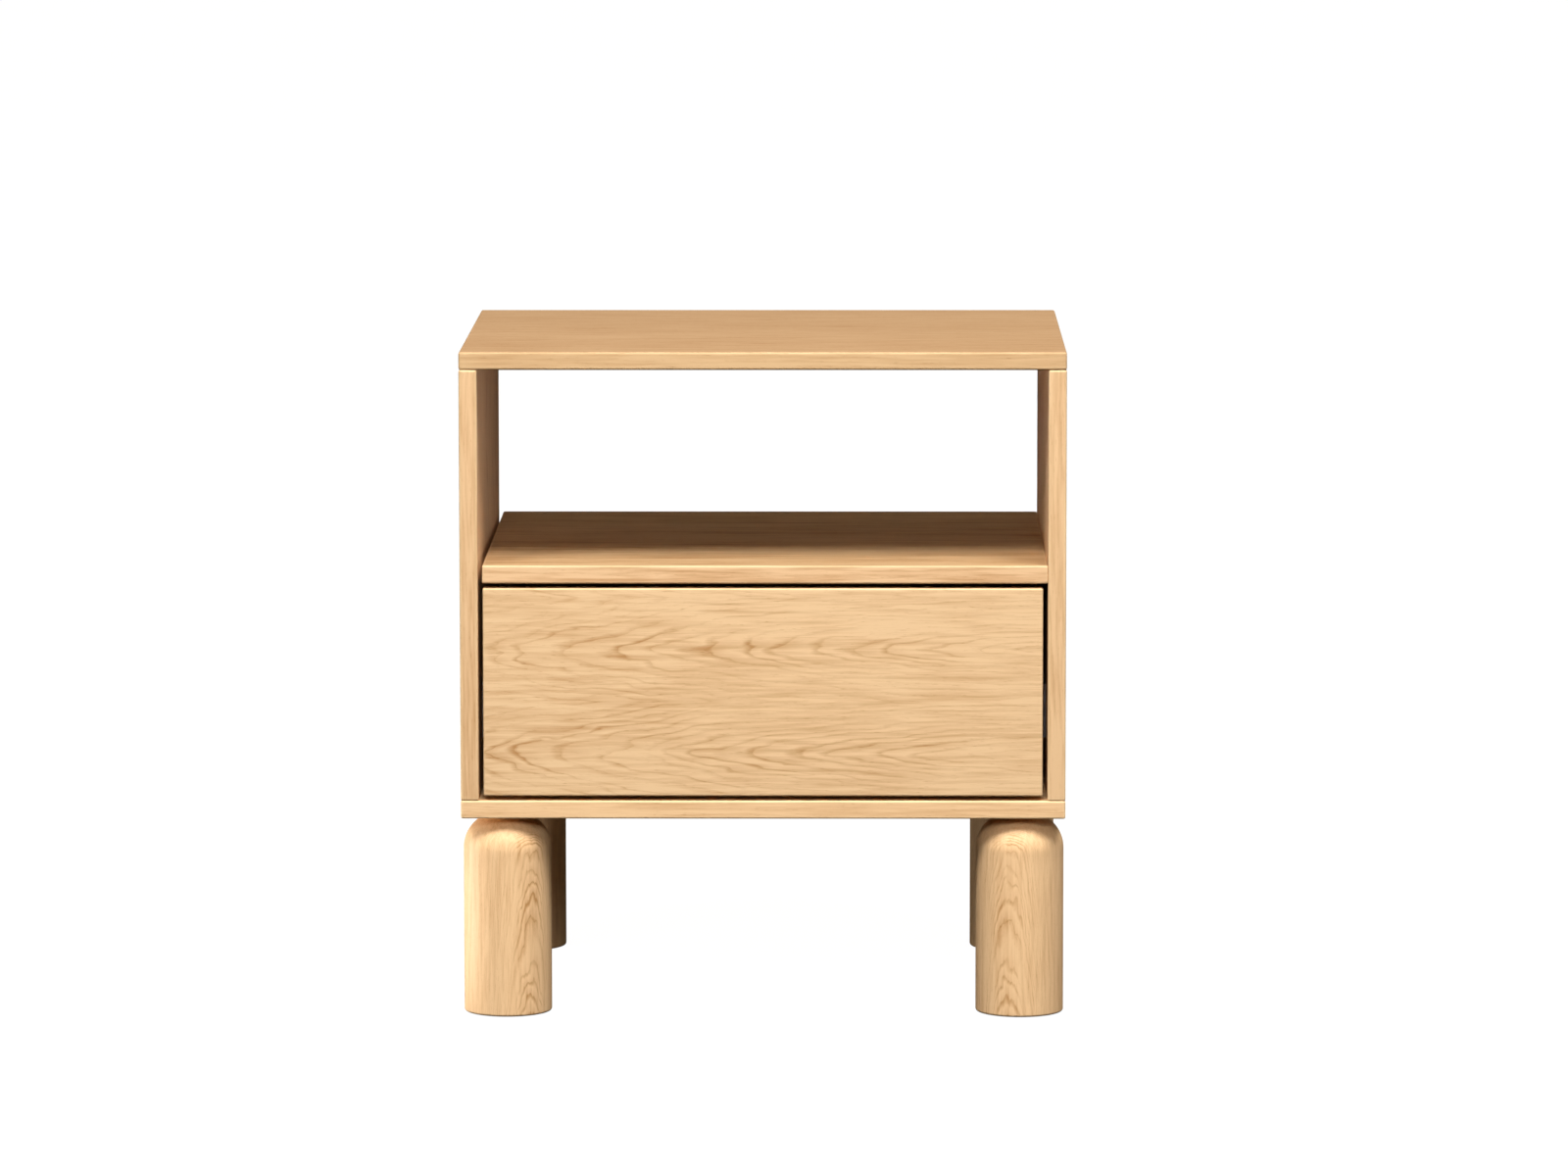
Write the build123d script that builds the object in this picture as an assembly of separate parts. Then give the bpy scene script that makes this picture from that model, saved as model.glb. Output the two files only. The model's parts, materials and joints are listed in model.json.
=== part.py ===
"""A bedside table: an open niche over one handleless drawer, on four round dome-topped legs.

Millimetres. X runs to the viewer's right, Y to the back and Z up. The origin is on the floor, under
the middle of the closed table, so the front faces lie at -Y. Left and right are as seen from the front.

The carcass is dowelled together from boards of one thickness. The shelf over the drawer lies loose on
four pins.
The drawer is a five-piece box behind a separate front, and runs on three-part ball-bearing slides.
A push latch under it holds it shut. Pressed, it pushes the drawer out, and the hand pulls it the rest.
"""

import os

from build123d import *

# ---- Outside of the table ----
width = 500.0
depth = 400.0
height = 555.0
board = 15.0  # thickness of the top, bottom, side panels and shelf
board_ease = 1.5  # rounding of the boards' edges
top_ease = 2.0  # rounding of the top board's edges
niche_share = 0.472  # of the clear height between the boards; the drawer has the rest
shelf_side_play = 3.5  # gap left of the loose shelf, which lies against the right panel

# ---- Legs ----
leg_height = 167.5  # floor to the underside of the bottom board, glide included
leg_diameter = 73.0
leg_inset = 0.5  # from the edges of the bottom board to the legs
leg_dome_radius = 0.4 * leg_diameter  # rounding of the leg's upper edge
leg_foot_ease = 2.0  # rounding of the leg's lower edge
glide_diameter = leg_diameter - 23.0
glide_thickness = 3.0
glide_proud = 1.0  # how far the felt stands below the wood
glide_ease = 0.5
bolt_diameter = 8.0
bolt_in_leg = 40.0
bolt_top_chamfer = 0.8
bolt_point_chamfer = 2.6
bolt_short_of_nut = 1.5  # bolt end to the top of the nut
nut_barrel_diameter = 10.0
nut_barrel_length = 11.0
nut_flange_diameter = 22.0
nut_flange = 1.4
prong_count = 4
prong_width = 2.6
prong_thick = 1.2
prong_length = 5.0

# ---- Wooden dowels ----
dowel_diameter = 8.0
dowel_length = 30.0
dowel_chamfer_share = 0.1  # of the dowel's diameter
dowel_in_face = 9.5  # how far a carcass dowel goes into the flat of a board
small_dowel_diameter = 6.0
small_dowel_length = 24.0
small_dowel_in_face = 8.5
dowel_end_inset = 42.0  # from a board's end to its first dowel
carcass_dowel_count = 3  # in a row, front to back
glue_gap = 0.1  # round a dowel
hole_extra_depth = 0.5  # beyond a dowel's or screw's end

# ---- Shelf pins ----
pin_diameter = 5.0
pin_in_panel = 8.0
pin_head_diameter = 7.0
pin_head_length = 10.0
pin_flat = 0.5  # cut off the top of the head, where the shelf rests
pin_end_inset = 120.0  # from the shelf's front and back edges
pin_fit = 0.05

# ---- Back panel behind the drawer ----
back_thickness = 12.0
back_inset = 2.0  # from the rear edges of the side panels
back_below_shelf = 1.0

# ---- Drawer front ----
front_thickness = 15.0
front_gap = 4.0  # all round the drawer front
front_ease = 1.5
front_screw_length = 22.0
front_screw_inset = (40.0, 28.0)  # from the box's inside corners, in X and Z

# ---- Drawer box ----
box_wall = 12.0
box_below_shelf = 27.0  # box's upper edge to the shelf
box_above_floor = 12.0  # bottom board to the box's lower edge
box_rear_clearance = 17.0  # box to back panel
box_ease = 1.0
box_bottom_thickness = 6.0
box_dowel_inset = 24.0  # from the box's upper edge, and from its bottom
groove_depth = 6.0
groove_up = 10.0  # from the box's lower edge to the groove
groove_fit = 0.1
bottom_screw_length = 16.0
bottom_screw_inset = 50.0
bottom_screw_count = 3

# ---- Ball-bearing slides ----
slide_thickness = 12.7  # cabinet wall to drawer wall
slide_setback = 54.0  # behind the back of the drawer front
slide_height = 45.0
slide_above_box = 54.0  # from the box's lower edge to the slide's middle
sheet = 1.2
lip = 1.1
ball_diameter = 3.0
ball_play = 0.15
ball_pitch = 12.0
ball_count = 9  # in a row
cage_sheet = 0.6
cage_flange = 0.8
cage_play = 0.2
cage_hole_play = 0.15
cage_past_ball = 0.9
cage_past_row = 7.0  # from the last ball's middle to the cage's end
channel_end_gap = 2.3  # from the middle channel's open side to the drawer wall
outer_end_gap = 3.1  # the same for the outer channel
inner_end_gap = 0.7  # from the inner channel's open side to the cage behind it
slide_screw_inset = 35.0
slide_screw_length = 10.0
slide_screw_count = 3
outer_rear_extra = 8.0  # the cabinet channel runs on behind the others, to hold the stop
stop_length = 4.5

# ---- Push latch ----
latch_width = 18.0
latch_height = 14.0
latch_length = 80.0
latch_flange_width = 40.0
latch_flange_length = 44.0
latch_flange = 2.5
latch_ease = 3.0  # rounding of the housing's upper edges
latch_front_y = 62.0  # housing's front end, behind the middle of the table
plunger_diameter = 8.0
plunger_in_housing = 55.0
plunger_fit = 0.2
plunger_rear_room = 21.0  # spring room behind the plunger
buffer_diameter = 11.0
buffer_length = 5.0
buffer_ease = 0.6
buffer_stands_off = 8.0  # back of the buffer to the housing
spigot_diameter = 5.0  # front end of the plunger, inside the buffer
spigot_length = 3.0
trip_gap = 2.3  # buffer to strike with the drawer shut
spring_diameter = 6.6
spring_wire = 0.8
spring_turns = 8
spring_end_gap = 0.1
strike_width = 26.0
strike_sheet = 2.0
strike_foot_length = 24.0
strike_above_floor = 3.0
strike_screw_inset = 6.5
latch_screw_length = 14.0
strike_screw_length = 6.5

# ---- Screws: diameter, head diameter, head height ----
wood_screw = (4.0, 8.0, 2.4)
slide_screw = (4.0, 6.4, 1.2)
small_screw = (3.0, 5.6, 1.6)
screw_clearance = 0.1
tip_share = 0.35  # pointed end, as a share of the screw's length
tip_width_share = 0.25  # of the screw's diameter, at its blunt tip

# ---- Places worked out from the sizes above ----
half_width = width / 2
front_y = -depth / 2
back_y = depth / 2
bottom_top_z = leg_height + board
top_under_z = height - board
clear_height = top_under_z - bottom_top_z - board
shelf_top_z = top_under_z - niche_share * clear_height
shelf_under_z = shelf_top_z - board
inner_x = half_width - board  # inner face of a side panel
front_back_y = front_y + front_thickness
back_panel_y = back_y - back_inset - back_thickness
box_low_z = bottom_top_z + box_above_floor
box_high_z = shelf_under_z - box_below_shelf
box_outer_x = inner_x - slide_thickness
box_inner_x = box_outer_x - box_wall
box_rear_y = back_panel_y - box_rear_clearance
sub_front_y = front_back_y + box_wall  # inner face of the sub-front
box_back_y = box_rear_y - box_wall  # inner face of the drawer back
groove_low_z = box_low_z + groove_up
box_floor_z = groove_low_z + box_bottom_thickness
slide_z = box_low_z + slide_above_box
slide_front_y = front_back_y + slide_setback
slide_rear_y = box_rear_y
cage_length = ball_pitch * (ball_count - 1) + 2 * cage_past_row
cage_mid_y = (slide_front_y + slide_rear_y) / 2
leg_x = half_width - leg_inset - leg_diameter / 2
leg_y = depth / 2 - leg_inset - leg_diameter / 2
pin_z = shelf_under_z - pin_head_diameter / 2 + pin_flat
latch_axis_z = bottom_top_z + latch_height / 2
strike_y = latch_front_y - buffer_stands_off - buffer_length - trip_gap
latch_middle_y = latch_front_y + latch_length / 2

SIDES = {"left": -1, "right": 1}
ENDS = {"front": -1, "rear": 1}

os.makedirs("parts", exist_ok=True)


# ---- Helpers ----
def write(node, *solids):
    """Writes one node, made of one or more separate solids."""
    shape = solids[0] if len(solids) == 1 else Compound(children=list(solids))
    export_step(shape, f"parts/{node}.step")


def block(x, y, z):
    """A box between three pairs of limits."""
    size = [abs(high - low) for low, high in (x, y, z)]
    middle = [(low + high) / 2 for low, high in (x, y, z)]
    return Pos(*middle) * Box(*size)


def eased(x, y, z, ease):
    """A board: a box with all its edges rounded."""
    shape = block(x, y, z)
    return fillet(shape.edges(), ease)


def rod(radius, length, start, direction):
    """A cylinder that starts at a point and runs along a direction."""
    plane = Plane(origin=start, z_dir=direction)
    return plane * Cylinder(radius, length, align=(Align.CENTER, Align.CENTER, Align.MIN))


def screw(kind, length, head, direction, flat_head=True):
    """A countersunk or pan-head screw. head is the point on its axis at the outside face."""
    diameter, head_diameter, head_height = kind
    radius = diameter / 2
    head_radius = head_diameter / 2
    taper = length * tip_share
    if flat_head:
        outline = [(0, 0), (head_radius, 0), (radius, head_height)]
    else:
        outline = [(0, -head_height), (head_radius, -head_height), (head_radius, 0), (radius, 0)]
    outline += [(radius, length - taper), (radius * tip_width_share, length), (0, length)]
    profile = make_face(Polyline(*outline, close=True))
    turned = revolve(Plane.XZ * profile, Axis.Z)
    return Plane(origin=head, z_dir=direction) * turned


def screw_hole(kind, length, head, direction, flat_head=True):
    """The room that the same screw takes in the pieces it holds."""
    diameter, head_diameter, head_height = kind
    wide = (diameter + 2 * screw_clearance, head_diameter + 2 * screw_clearance, head_height)
    radius = wide[0] / 2
    shaft = rod(radius, length + hole_extra_depth, head, direction)
    if not flat_head:
        return shaft
    plane = Plane(origin=head, z_dir=direction)
    low = (Align.CENTER, Align.CENTER, Align.MIN)
    return shaft + plane * Cone(wide[1] / 2, radius, head_height, align=low)


def pan_screws(length, places, direction):
    return [screw(small_screw, length, head, direction, flat_head=False) for head in places]


def dowel_at(diameter, length, start, direction):
    """A wooden dowel with chamfered ends."""
    body = rod(diameter / 2, length, start, direction)
    rims = body.edges().filter_by(GeomType.CIRCLE)
    return chamfer(rims, diameter * dowel_chamfer_share)


def dowel_hole(diameter, deep, start, direction):
    return rod(diameter / 2 + glue_gap, deep + hole_extra_depth, start, direction)


def small_dowels(outer_end_x, places):
    """Dowels on both sides, running inwards from their outer ends, at places in (y, z)."""
    return [
        dowel_at(small_dowel_diameter, small_dowel_length, (s * outer_end_x, y, z), (-s, 0, 0))
        for s in SIDES.values()
        for y, z in places
    ]


def spread(low, high, inset, count=2):
    """Evenly spaced places between two ends, the first and last at the same inset."""
    first = low + inset
    last = high - inset
    return [first + (last - first) * i / (count - 1) for i in range(count)]


# ---- Carcass ----
def carcass_dowel_places():
    return spread(front_y, back_y, dowel_end_inset, carcass_dowel_count)


def carcass_dowels(face_z, into_face):
    """Dowels between the side panels and the flat of a board whose face is at face_z."""
    start_z = face_z + into_face * dowel_in_face
    return [
        dowel_at(dowel_diameter, dowel_length, (s * (inner_x + board / 2), y, start_z), (0, 0, -into_face))
        for s in SIDES.values()
        for y in carcass_dowel_places()
    ]


def carcass_dowel_holes(face_z, direction, deep):
    """The holes for those dowels, from the face into a board."""
    return [
        dowel_hole(dowel_diameter, deep, (s * (inner_x + board / 2), y, face_z), (0, 0, direction))
        for s in SIDES.values()
        for y in carcass_dowel_places()
    ]


def back_dowel_places():
    """(y, z) of the dowels that hold the back panel to the side panels."""
    y = back_panel_y + back_thickness / 2
    top = shelf_under_z - back_below_shelf
    return [(y, z) for z in spread(bottom_top_z, top, dowel_end_inset)]


def top_panel():
    body = eased((-half_width, half_width), (front_y, back_y), (top_under_z, height), top_ease)
    for hole in carcass_dowel_holes(top_under_z, 1, dowel_in_face):
        body -= hole
    return body


def bottom_panel():
    body = eased((-half_width, half_width), (front_y, back_y), (leg_height, bottom_top_z), board_ease)
    for hole in carcass_dowel_holes(bottom_top_z, -1, dowel_in_face):
        body -= hole
    for x, y in leg_places():
        body -= nut_room(x, y)
    for head in latch_screw_places():
        body -= screw_hole(small_screw, latch_screw_length, head, (0, 0, -1), flat_head=False)
    return body


def side_panel(sign):
    x = sorted((sign * inner_x, sign * half_width))
    body = eased(x, (front_y, back_y), (bottom_top_z, top_under_z), board_ease)
    deep = dowel_length - dowel_in_face
    for y in carcass_dowel_places():
        middle_x = sign * (inner_x + board / 2)
        body -= dowel_hole(dowel_diameter, deep, (middle_x, y, bottom_top_z), (0, 0, 1))
        body -= dowel_hole(dowel_diameter, deep, (middle_x, y, top_under_z), (0, 0, -1))
    for y, z in back_dowel_places():
        start = (sign * inner_x, y, z)
        body -= dowel_hole(small_dowel_diameter, small_dowel_in_face, start, (sign, 0, 0))
    for y in pin_places():
        deep = pin_in_panel + hole_extra_depth
        body -= rod(pin_diameter / 2 + pin_fit, deep, (sign * inner_x, y, pin_z), (sign, 0, 0))
    for hole in cabinet_slide_screw_holes(sign):
        body -= hole
    return body


def back_panel():
    y = (back_panel_y, back_panel_y + back_thickness)
    z = (bottom_top_z, shelf_under_z - back_below_shelf)
    body = eased((-inner_x, inner_x), y, z, board_ease)
    deep = small_dowel_length - small_dowel_in_face
    for s in SIDES.values():
        for hole_y, hole_z in back_dowel_places():
            body -= dowel_hole(small_dowel_diameter, deep, (s * inner_x, hole_y, hole_z), (-s, 0, 0))
    return body


def back_panel_dowels():
    return small_dowels(inner_x + small_dowel_in_face, back_dowel_places())


def shelf():
    x = (-inner_x + shelf_side_play, inner_x)
    return eased(x, (front_y, back_y), (shelf_under_z, shelf_top_z), board_ease)


def pin_places():
    return spread(front_y, back_y, pin_end_inset)


def shelf_pin(sign, y):
    """A steel pin with a flat-topped head that the shelf lies on."""
    root = rod(pin_diameter / 2, pin_in_panel, (sign * inner_x, y, pin_z), (sign, 0, 0))
    head = rod(pin_head_diameter / 2, pin_head_length, (sign * inner_x, y, pin_z), (-sign, 0, 0))
    low_x, high_x = sorted((sign * inner_x, sign * (inner_x - pin_head_length)))
    flat = block(
        (low_x - pin_flat, high_x + pin_flat),
        (y - pin_head_diameter, y + pin_head_diameter),
        (shelf_under_z, shelf_under_z + pin_head_diameter),
    )
    return root + (head - flat)


# ---- Legs ----
def leg_places():
    return [(s * leg_x, e * leg_y) for s in SIDES.values() for e in ENDS.values()]


def leg(x, y):
    """A solid turned leg with a domed top, a bolt hole and a recess for its felt."""
    radius = leg_diameter / 2
    rise = leg_height - glide_proud
    body = rod(radius, rise, (0, 0, glide_proud), (0, 0, 1))
    rims = body.edges().filter_by(GeomType.CIRCLE).sort_by(Axis.Z)
    body = fillet(rims[-1], leg_dome_radius)
    rims = body.edges().filter_by(GeomType.CIRCLE).sort_by(Axis.Z)
    body = fillet(rims[0], leg_foot_ease)
    bolt_deep = bolt_in_leg + hole_extra_depth
    bolt_room = rod(bolt_diameter / 2 + screw_clearance, bolt_deep, (0, 0, leg_height), (0, 0, -1))
    felt_room = rod(glide_diameter / 2 + screw_clearance, glide_thickness, (0, 0, 0), (0, 0, 1))
    return Pos(x, y, 0) * (body - bolt_room - felt_room)


def leg_glide(x, y):
    body = rod(glide_diameter / 2, glide_thickness, (x, y, 0), (0, 0, 1))
    lower_rim = body.edges().filter_by(GeomType.CIRCLE).sort_by(Axis.Z)[0]
    return fillet(lower_rim, glide_ease)


def leg_bolt(x, y):
    top = bottom_top_z + nut_flange - bolt_short_of_nut
    bottom = leg_height - bolt_in_leg
    body = rod(bolt_diameter / 2, top - bottom, (x, y, bottom), (0, 0, 1))
    rims = body.edges().filter_by(GeomType.CIRCLE).sort_by(Axis.Z)
    body = chamfer(rims[-1], bolt_top_chamfer)
    rims = body.edges().filter_by(GeomType.CIRCLE).sort_by(Axis.Z)
    return chamfer(rims[0], bolt_point_chamfer)


def nut_prongs(x, y):
    """The points of a pronged nut, as the pieces of steel that stand in the wood."""
    ring = nut_flange_diameter / 2 - prong_thick
    z = (bottom_top_z - prong_length, bottom_top_z)
    prong = block((ring - prong_thick, ring), (-prong_width / 2, prong_width / 2), z)
    turns = [360 * (i + 0.5) / prong_count for i in range(prong_count)]
    return [Pos(x, y, 0) * Rot(0, 0, turn) * prong for turn in turns]


def leg_nut(x, y):
    flange = rod(nut_flange_diameter / 2, nut_flange, (x, y, bottom_top_z), (0, 0, 1))
    barrel = rod(nut_barrel_diameter / 2, nut_barrel_length, (x, y, bottom_top_z), (0, 0, -1))
    body = flange + barrel
    for prong in nut_prongs(x, y):
        body += prong
    bore_start = (x, y, bottom_top_z - nut_barrel_length)
    bore_length = nut_barrel_length + nut_flange
    return body - rod(bolt_diameter / 2 + screw_clearance, bore_length, bore_start, (0, 0, 1))


def nut_room(x, y):
    """What a leg's nut and bolt take out of the bottom board."""
    barrel_deep = nut_barrel_length + hole_extra_depth
    room = rod(nut_barrel_diameter / 2 + screw_clearance, barrel_deep, (x, y, bottom_top_z), (0, 0, -1))
    room += rod(bolt_diameter / 2 + screw_clearance, board, (x, y, leg_height), (0, 0, 1))
    for prong in nut_prongs(x, y):
        room += prong
    return room


# ---- Drawer ----
def sub_front_screw_places():
    """Heads of the screws from the sub-front into the drawer front."""
    x_places = spread(-box_inner_x, box_inner_x, front_screw_inset[0])
    z_places = spread(box_floor_z, box_high_z, front_screw_inset[1])
    return [(x, sub_front_y, z) for x in x_places for z in z_places]


def drawer_front():
    x = (-inner_x + front_gap, inner_x - front_gap)
    z = (bottom_top_z + front_gap, shelf_under_z - front_gap)
    body = eased(x, (front_y, front_back_y), z, front_ease)
    for head in sub_front_screw_places():
        body -= screw_hole(wood_screw, front_screw_length, head, (0, -1, 0))
    return body


def groove(x, y):
    """A groove for the drawer's bottom, between limits in X and Y."""
    return block(x, y, (groove_low_z - groove_fit, box_floor_z + groove_fit))


def box_dowel_places():
    """(y, z) of the dowels between the drawer's sides and its front and back boards."""
    z_places = spread(box_floor_z, box_high_z, box_dowel_inset)
    y_places = (front_back_y + box_wall / 2, box_back_y + box_wall / 2)
    return [(y, z) for y in y_places for z in z_places]


def drawer_side(sign):
    x = sorted((sign * box_inner_x, sign * box_outer_x))
    body = eased(x, (front_back_y, box_rear_y), (box_low_z, box_high_z), box_ease)
    groove_x = sorted((sign * (box_inner_x - groove_depth), sign * (box_inner_x + groove_depth)))
    body -= groove(groove_x, (front_back_y + box_wall - groove_depth, box_rear_y + box_wall))
    for y, z in box_dowel_places():
        start = (sign * box_inner_x, y, z)
        body -= dowel_hole(small_dowel_diameter, small_dowel_in_face, start, (sign, 0, 0))
    for hole in drawer_slide_screw_holes(sign):
        body -= hole
    return body


def drawer_dowels():
    return small_dowels(box_inner_x + small_dowel_in_face, box_dowel_places())


def between_sides(y, z):
    """A board between the drawer's sides, with its dowel holes."""
    body = eased((-box_inner_x, box_inner_x), y, z, box_ease)
    deep = small_dowel_length - small_dowel_in_face
    for s in SIDES.values():
        for hole_y, hole_z in box_dowel_places():
            if y[0] < hole_y < y[1]:
                body -= dowel_hole(small_dowel_diameter, deep, (s * box_inner_x, hole_y, hole_z), (-s, 0, 0))
    return body


def drawer_sub_front():
    body = between_sides((front_back_y, sub_front_y), (box_low_z, box_high_z))
    body -= groove((-box_outer_x, box_outer_x), (sub_front_y - groove_depth, sub_front_y + groove_depth))
    for head in sub_front_screw_places():
        body -= screw_hole(wood_screw, front_screw_length, head, (0, -1, 0))
    return body


def drawer_back():
    body = between_sides((box_back_y, box_rear_y), (box_floor_z + groove_fit, box_high_z))
    for head in bottom_screw_places():
        body -= screw_hole(small_screw, bottom_screw_length, head, (0, 0, 1), flat_head=False)
    return body


def bottom_screw_places():
    """Heads of the screws up through the drawer's bottom into its back board."""
    y = box_back_y + box_wall / 2
    x_places = spread(-box_inner_x, box_inner_x, bottom_screw_inset, bottom_screw_count)
    return [(x, y, groove_low_z) for x in x_places]


def drawer_bottom():
    reach = box_inner_x + groove_depth - groove_fit
    y = (sub_front_y - groove_depth + groove_fit, box_rear_y)
    body = block((-reach, reach), y, (groove_low_z, box_floor_z))
    for head in bottom_screw_places():
        body -= screw_hole(small_screw, bottom_screw_length, head, (0, 0, 1), flat_head=False)
    for head in strike_screw_places():
        body -= screw_hole(small_screw, strike_screw_length, head, (0, 0, 1), flat_head=False)
    return body


# ---- Slides ----
# A slide's cross-section is drawn in u, from the cabinet wall to the drawer, and v, up from its middle.
# From the outside in, each channel stands inside the last with a row of balls between their flanges.
race = ball_diameter + 2 * ball_play
outer_half = slide_height / 2
middle_half = outer_half - sheet - race
inner_half = middle_half - sheet - race
middle_u = sheet + 2 * cage_play + cage_sheet
inner_cage_u = middle_u + sheet + cage_play
outer_ball_v = outer_half - sheet - race / 2
inner_ball_v = middle_half - sheet - race / 2
outer_channel_depth = slide_thickness - outer_end_gap
middle_channel_depth = slide_thickness - channel_end_gap - middle_u
inner_channel_depth = slide_thickness - inner_cage_u - cage_sheet - inner_end_gap
outer_ball_u = outer_channel_depth / 2
inner_ball_u = middle_u + middle_channel_depth / 2


def slide_screw_places():
    return spread(slide_front_y, slide_rear_y, slide_screw_inset, slide_screw_count)


def cabinet_slide_screw_heads(sign):
    return [(sign * (inner_x - sheet), y, slide_z) for y in slide_screw_places()]


def drawer_slide_screw_heads(sign):
    return [(sign * (box_outer_x + sheet), y, slide_z) for y in slide_screw_places()]


def cabinet_slide_screw_holes(sign):
    places = cabinet_slide_screw_heads(sign)
    return [screw_hole(slide_screw, slide_screw_length, head, (sign, 0, 0)) for head in places]


def drawer_slide_screw_holes(sign):
    places = drawer_slide_screw_heads(sign)
    return [screw_hole(slide_screw, slide_screw_length, head, (-sign, 0, 0)) for head in places]


def section_extrude(points, sign, y_low, y_high):
    """Extrudes a slide section drawn in (u, v) along Y, on the left or right side of the table."""
    corners = [Vector(sign * (inner_x - u), y_high, slide_z + v) for u, v in points]
    face = make_face(Polyline(*corners, close=True))
    return extrude(face, amount=y_high - y_low, dir=(0, -1, 0))


def channel(start_u, deep, half, sign, rear_y, opens=1):
    """A lipped channel. opens is 1 where it opens to the drawer, and -1 where it opens to the cabinet."""
    outline = [(0, -half), (deep, -half), (deep, -half + sheet + lip), (deep - sheet, -half + sheet + lip)]
    outline += [(deep - sheet, -half + sheet), (sheet, -half + sheet)]
    outline += [(u, -v) for u, v in reversed(outline)]
    points = [(start_u + opens * u, v) for u, v in outline]
    return section_extrude(points, sign, slide_front_y, rear_y)


def slide_outer(sign):
    body = channel(0, outer_channel_depth, outer_half, sign, slide_rear_y + outer_rear_extra)
    for hole in cabinet_slide_screw_holes(sign):
        body -= hole
    return body


def slide_middle(sign):
    return channel(middle_u, middle_channel_depth, middle_half, sign, slide_rear_y)


def slide_inner(sign):
    body = channel(slide_thickness, inner_channel_depth, inner_half, sign, slide_rear_y, opens=-1)
    for hole in drawer_slide_screw_holes(sign):
        body -= hole
    return body


def ball_places():
    """Y of the balls in a row, with the drawer shut."""
    first = cage_mid_y - ball_pitch * (ball_count - 1) / 2
    return [first + ball_pitch * i for i in range(ball_count)]


def ball_cage(start_u, ball_u, ball_v, sign):
    """A thin strip bent round the channel inside it, with a hole for each ball."""
    far_u = ball_u + ball_diameter / 2 + cage_past_ball
    high = ball_v + cage_flange / 2
    low = ball_v - cage_flange / 2
    outline = [(start_u, -high), (far_u, -high), (far_u, -low), (start_u + cage_sheet, -low)]
    outline += [(u, -v) for u, v in reversed(outline)]
    body = section_extrude(outline, sign, cage_mid_y - cage_length / 2, cage_mid_y + cage_length / 2)
    for y in ball_places():
        at = (sign * (inner_x - ball_u), y, slide_z - outer_half)
        body -= rod(ball_diameter / 2 + cage_hole_play, slide_height, at, (0, 0, 1))
    return body


def balls(ball_u, ball_v, sign):
    return [
        Pos(sign * (inner_x - ball_u), y, slide_z + v) * Sphere(ball_diameter / 2)
        for v in (-ball_v, ball_v)
        for y in ball_places()
    ]


def slide_stop(sign):
    """A plastic block at the back of the cabinet channel."""
    reach = outer_half - sheet
    high_u = outer_channel_depth - sheet
    rear = slide_rear_y + outer_rear_extra
    points = [(sheet, -reach), (high_u, -reach), (high_u, reach), (sheet, reach)]
    return section_extrude(points, sign, rear - stop_length, rear)


# ---- Push latch ----
def latch_screw_places():
    housing_edge = latch_width / 2
    x = (housing_edge + latch_flange_width / 2) / 2
    top = bottom_top_z + latch_flange
    return [(s * x, latch_middle_y, top) for s in SIDES.values()]


def push_latch_housing():
    body = block(
        (-latch_width / 2, latch_width / 2),
        (latch_front_y, latch_front_y + latch_length),
        (bottom_top_z, bottom_top_z + latch_height),
    )
    body = fillet(body.edges().filter_by(Axis.Y).sort_by(Axis.Z)[-2:], latch_ease)
    body += block(
        (-latch_flange_width / 2, latch_flange_width / 2),
        (latch_middle_y - latch_flange_length / 2, latch_middle_y + latch_flange_length / 2),
        (bottom_top_z, bottom_top_z + latch_flange),
    )
    for head in latch_screw_places():
        body -= screw_hole(small_screw, latch_screw_length, head, (0, 0, -1), flat_head=False)
    deep = plunger_in_housing + plunger_rear_room
    return body - rod(plunger_diameter / 2 + plunger_fit, deep, (0, latch_front_y, latch_axis_z), (0, 1, 0))


def push_latch_plunger():
    """The rod that pushes the drawer out, with a spigot at its front end."""
    front = latch_front_y - buffer_stands_off
    length = buffer_stands_off + plunger_in_housing
    body = rod(plunger_diameter / 2, length, (0, front, latch_axis_z), (0, 1, 0))
    return body + rod(spigot_diameter / 2, spigot_length, (0, front, latch_axis_z), (0, -1, 0))


def push_latch_buffer():
    """The soft cap on the plunger's spigot, which meets the strike."""
    back = (0, latch_front_y - buffer_stands_off, latch_axis_z)
    body = rod(buffer_diameter / 2, buffer_length, back, (0, -1, 0))
    body = fillet(body.edges().filter_by(GeomType.CIRCLE), buffer_ease)
    return body - rod(spigot_diameter / 2 + pin_fit, spigot_length + pin_fit, back, (0, -1, 0))


def push_latch_spring():
    """The coil spring behind the plunger, as it stands with the drawer shut."""
    coil_radius = (spring_diameter - spring_wire) / 2
    start_y = latch_front_y + plunger_in_housing + spring_end_gap + spring_wire / 2
    reach = plunger_rear_room - 2 * spring_end_gap - spring_wire
    path = Helix(pitch=reach / spring_turns, height=reach, radius=coil_radius)
    section = Plane(origin=path @ 0, z_dir=path % 0) * Circle(spring_wire / 2)
    coil = sweep(section, path=path, is_frenet=True)
    return Plane(origin=(0, start_y, latch_axis_z), z_dir=(0, 1, 0)) * coil


def strike_screw_places():
    """Heads of the screws up through the strike's foot into the drawer's bottom."""
    y = strike_y - strike_sheet - strike_foot_length / 2
    z = groove_low_z - strike_sheet
    return [(x, y, z) for x in spread(-strike_width / 2, strike_width / 2, strike_screw_inset)]


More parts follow.
